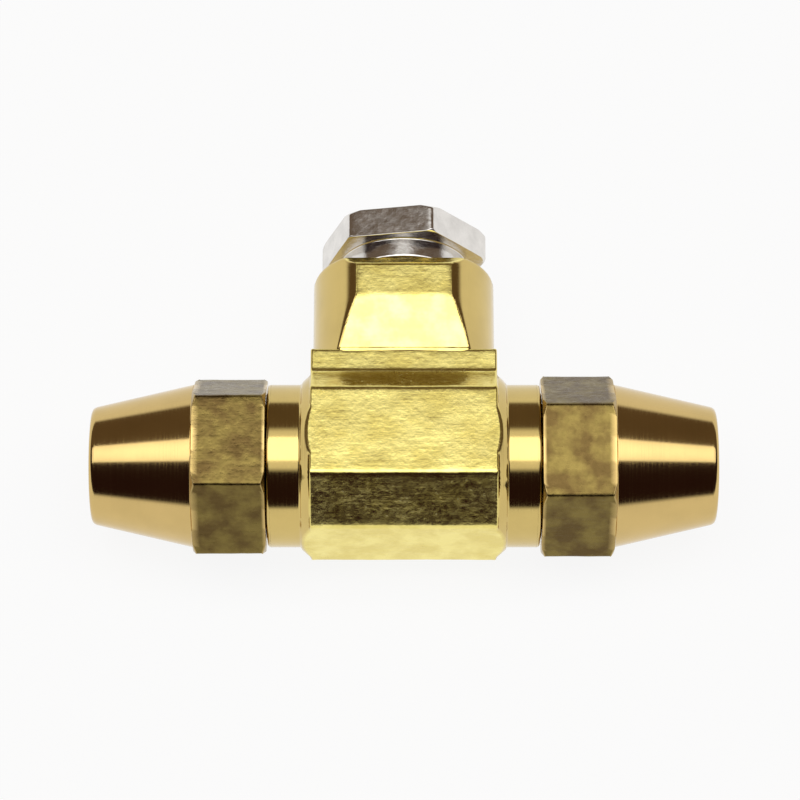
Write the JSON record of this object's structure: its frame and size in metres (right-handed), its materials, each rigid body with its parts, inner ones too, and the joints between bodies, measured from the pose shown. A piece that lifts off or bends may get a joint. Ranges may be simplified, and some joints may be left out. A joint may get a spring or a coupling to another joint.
{
  "type": "needle valve",
  "caption": "Straight brass needle valve with a slotted stem, hexagonal gland nut and a tapered compression nut at each tube end.",
  "frame": {"origin": "middle of the block's back flat, straight under the crossing of the flow axis and the stem axis", "axes": "+X along the flow axis towards the right nut, +Y along the stem axis towards the gland nut, +Z out of the block's front flat"},
  "size_m": [0.049, 0.0296, 0.014],
  "materials": {
    "body_brass": "extruded flats and turned ends",
    "nut_brass": "dull hexagon and turned tail",
    "turned_brass": "bright turned",
    "nickel_plate": "bright nickel plate",
    "stem_steel": "turned",
    "seal_rubber": "smooth",
    "packing_plastic": "smooth"
  },
  "bodies": {
    "valve": {"valve_body": "body_brass", "packing_washer": "turned_brass", "lower_packing_ring": "packing_plastic", "upper_packing_ring": "packing_plastic"},
    "stem_seal": {"stem_o_ring": "seal_rubber", "o_ring_backup": "packing_plastic"},
    "stem": {"stem": "stem_steel"},
    "gland_follower": {"gland_follower": "turned_brass"},
    "gland_nut": {"gland_nut": "nickel_plate"},
    "left_ferrule": {"left_ferrule": "turned_brass"},
    "left_nut": {"left_nut": "nut_brass"},
    "right_ferrule": {"right_ferrule": "turned_brass"},
    "right_nut": {"right_nut": "nut_brass"}
  },
  "joints": [
    {"name": "stem_travel", "type": "slide", "parent": "valve", "child": "stem_seal", "axis": [0, 1, 0], "range_m": [0, 0.0018]},
    {"name": "stem_turn", "type": "hinge", "parent": "stem_seal", "child": "stem", "pos_m": [0, 0, 0.007], "axis": [0, 1, 0], "range_deg": [0, 810]},
    {"name": "gland_travel", "type": "slide", "parent": "valve", "child": "gland_follower", "axis": [0, 1, 0], "range_m": [0, 0.00075]},
    {"name": "gland_turn", "type": "hinge", "parent": "gland_follower", "child": "gland_nut", "pos_m": [0, 0, 0.007], "axis": [0, 1, 0], "range_deg": [0, 360]},
    {"name": "left_nut_travel", "type": "slide", "parent": "valve", "child": "left_ferrule", "axis": [-1, 0, 0], "range_m": [0, 0.00317]},
    {"name": "left_nut_turn", "type": "hinge", "parent": "left_ferrule", "child": "left_nut", "pos_m": [0, 0, 0.007], "axis": [-1, 0, 0], "range_deg": [0, 1080]},
    {"name": "right_nut_travel", "type": "slide", "parent": "valve", "child": "right_ferrule", "axis": [1, 0, 0], "range_m": [0, 0.00317]},
    {"name": "right_nut_turn", "type": "hinge", "parent": "right_ferrule", "child": "right_nut", "pos_m": [0, 0, 0.007], "axis": [1, 0, 0], "range_deg": [0, 1080]}
  ],
  "couplings": [
    {"joint": "stem_turn", "follows": "stem_travel", "rad_per_m": 7853.9},
    {"joint": "gland_turn", "follows": "gland_travel", "rad_per_m": 8377.5},
    {"joint": "left_nut_travel", "follows": "left_nut_turn", "m_per_rad": 0.00016844},
    {"joint": "right_nut_travel", "follows": "right_nut_turn", "m_per_rad": 0.00016844}
  ]
}
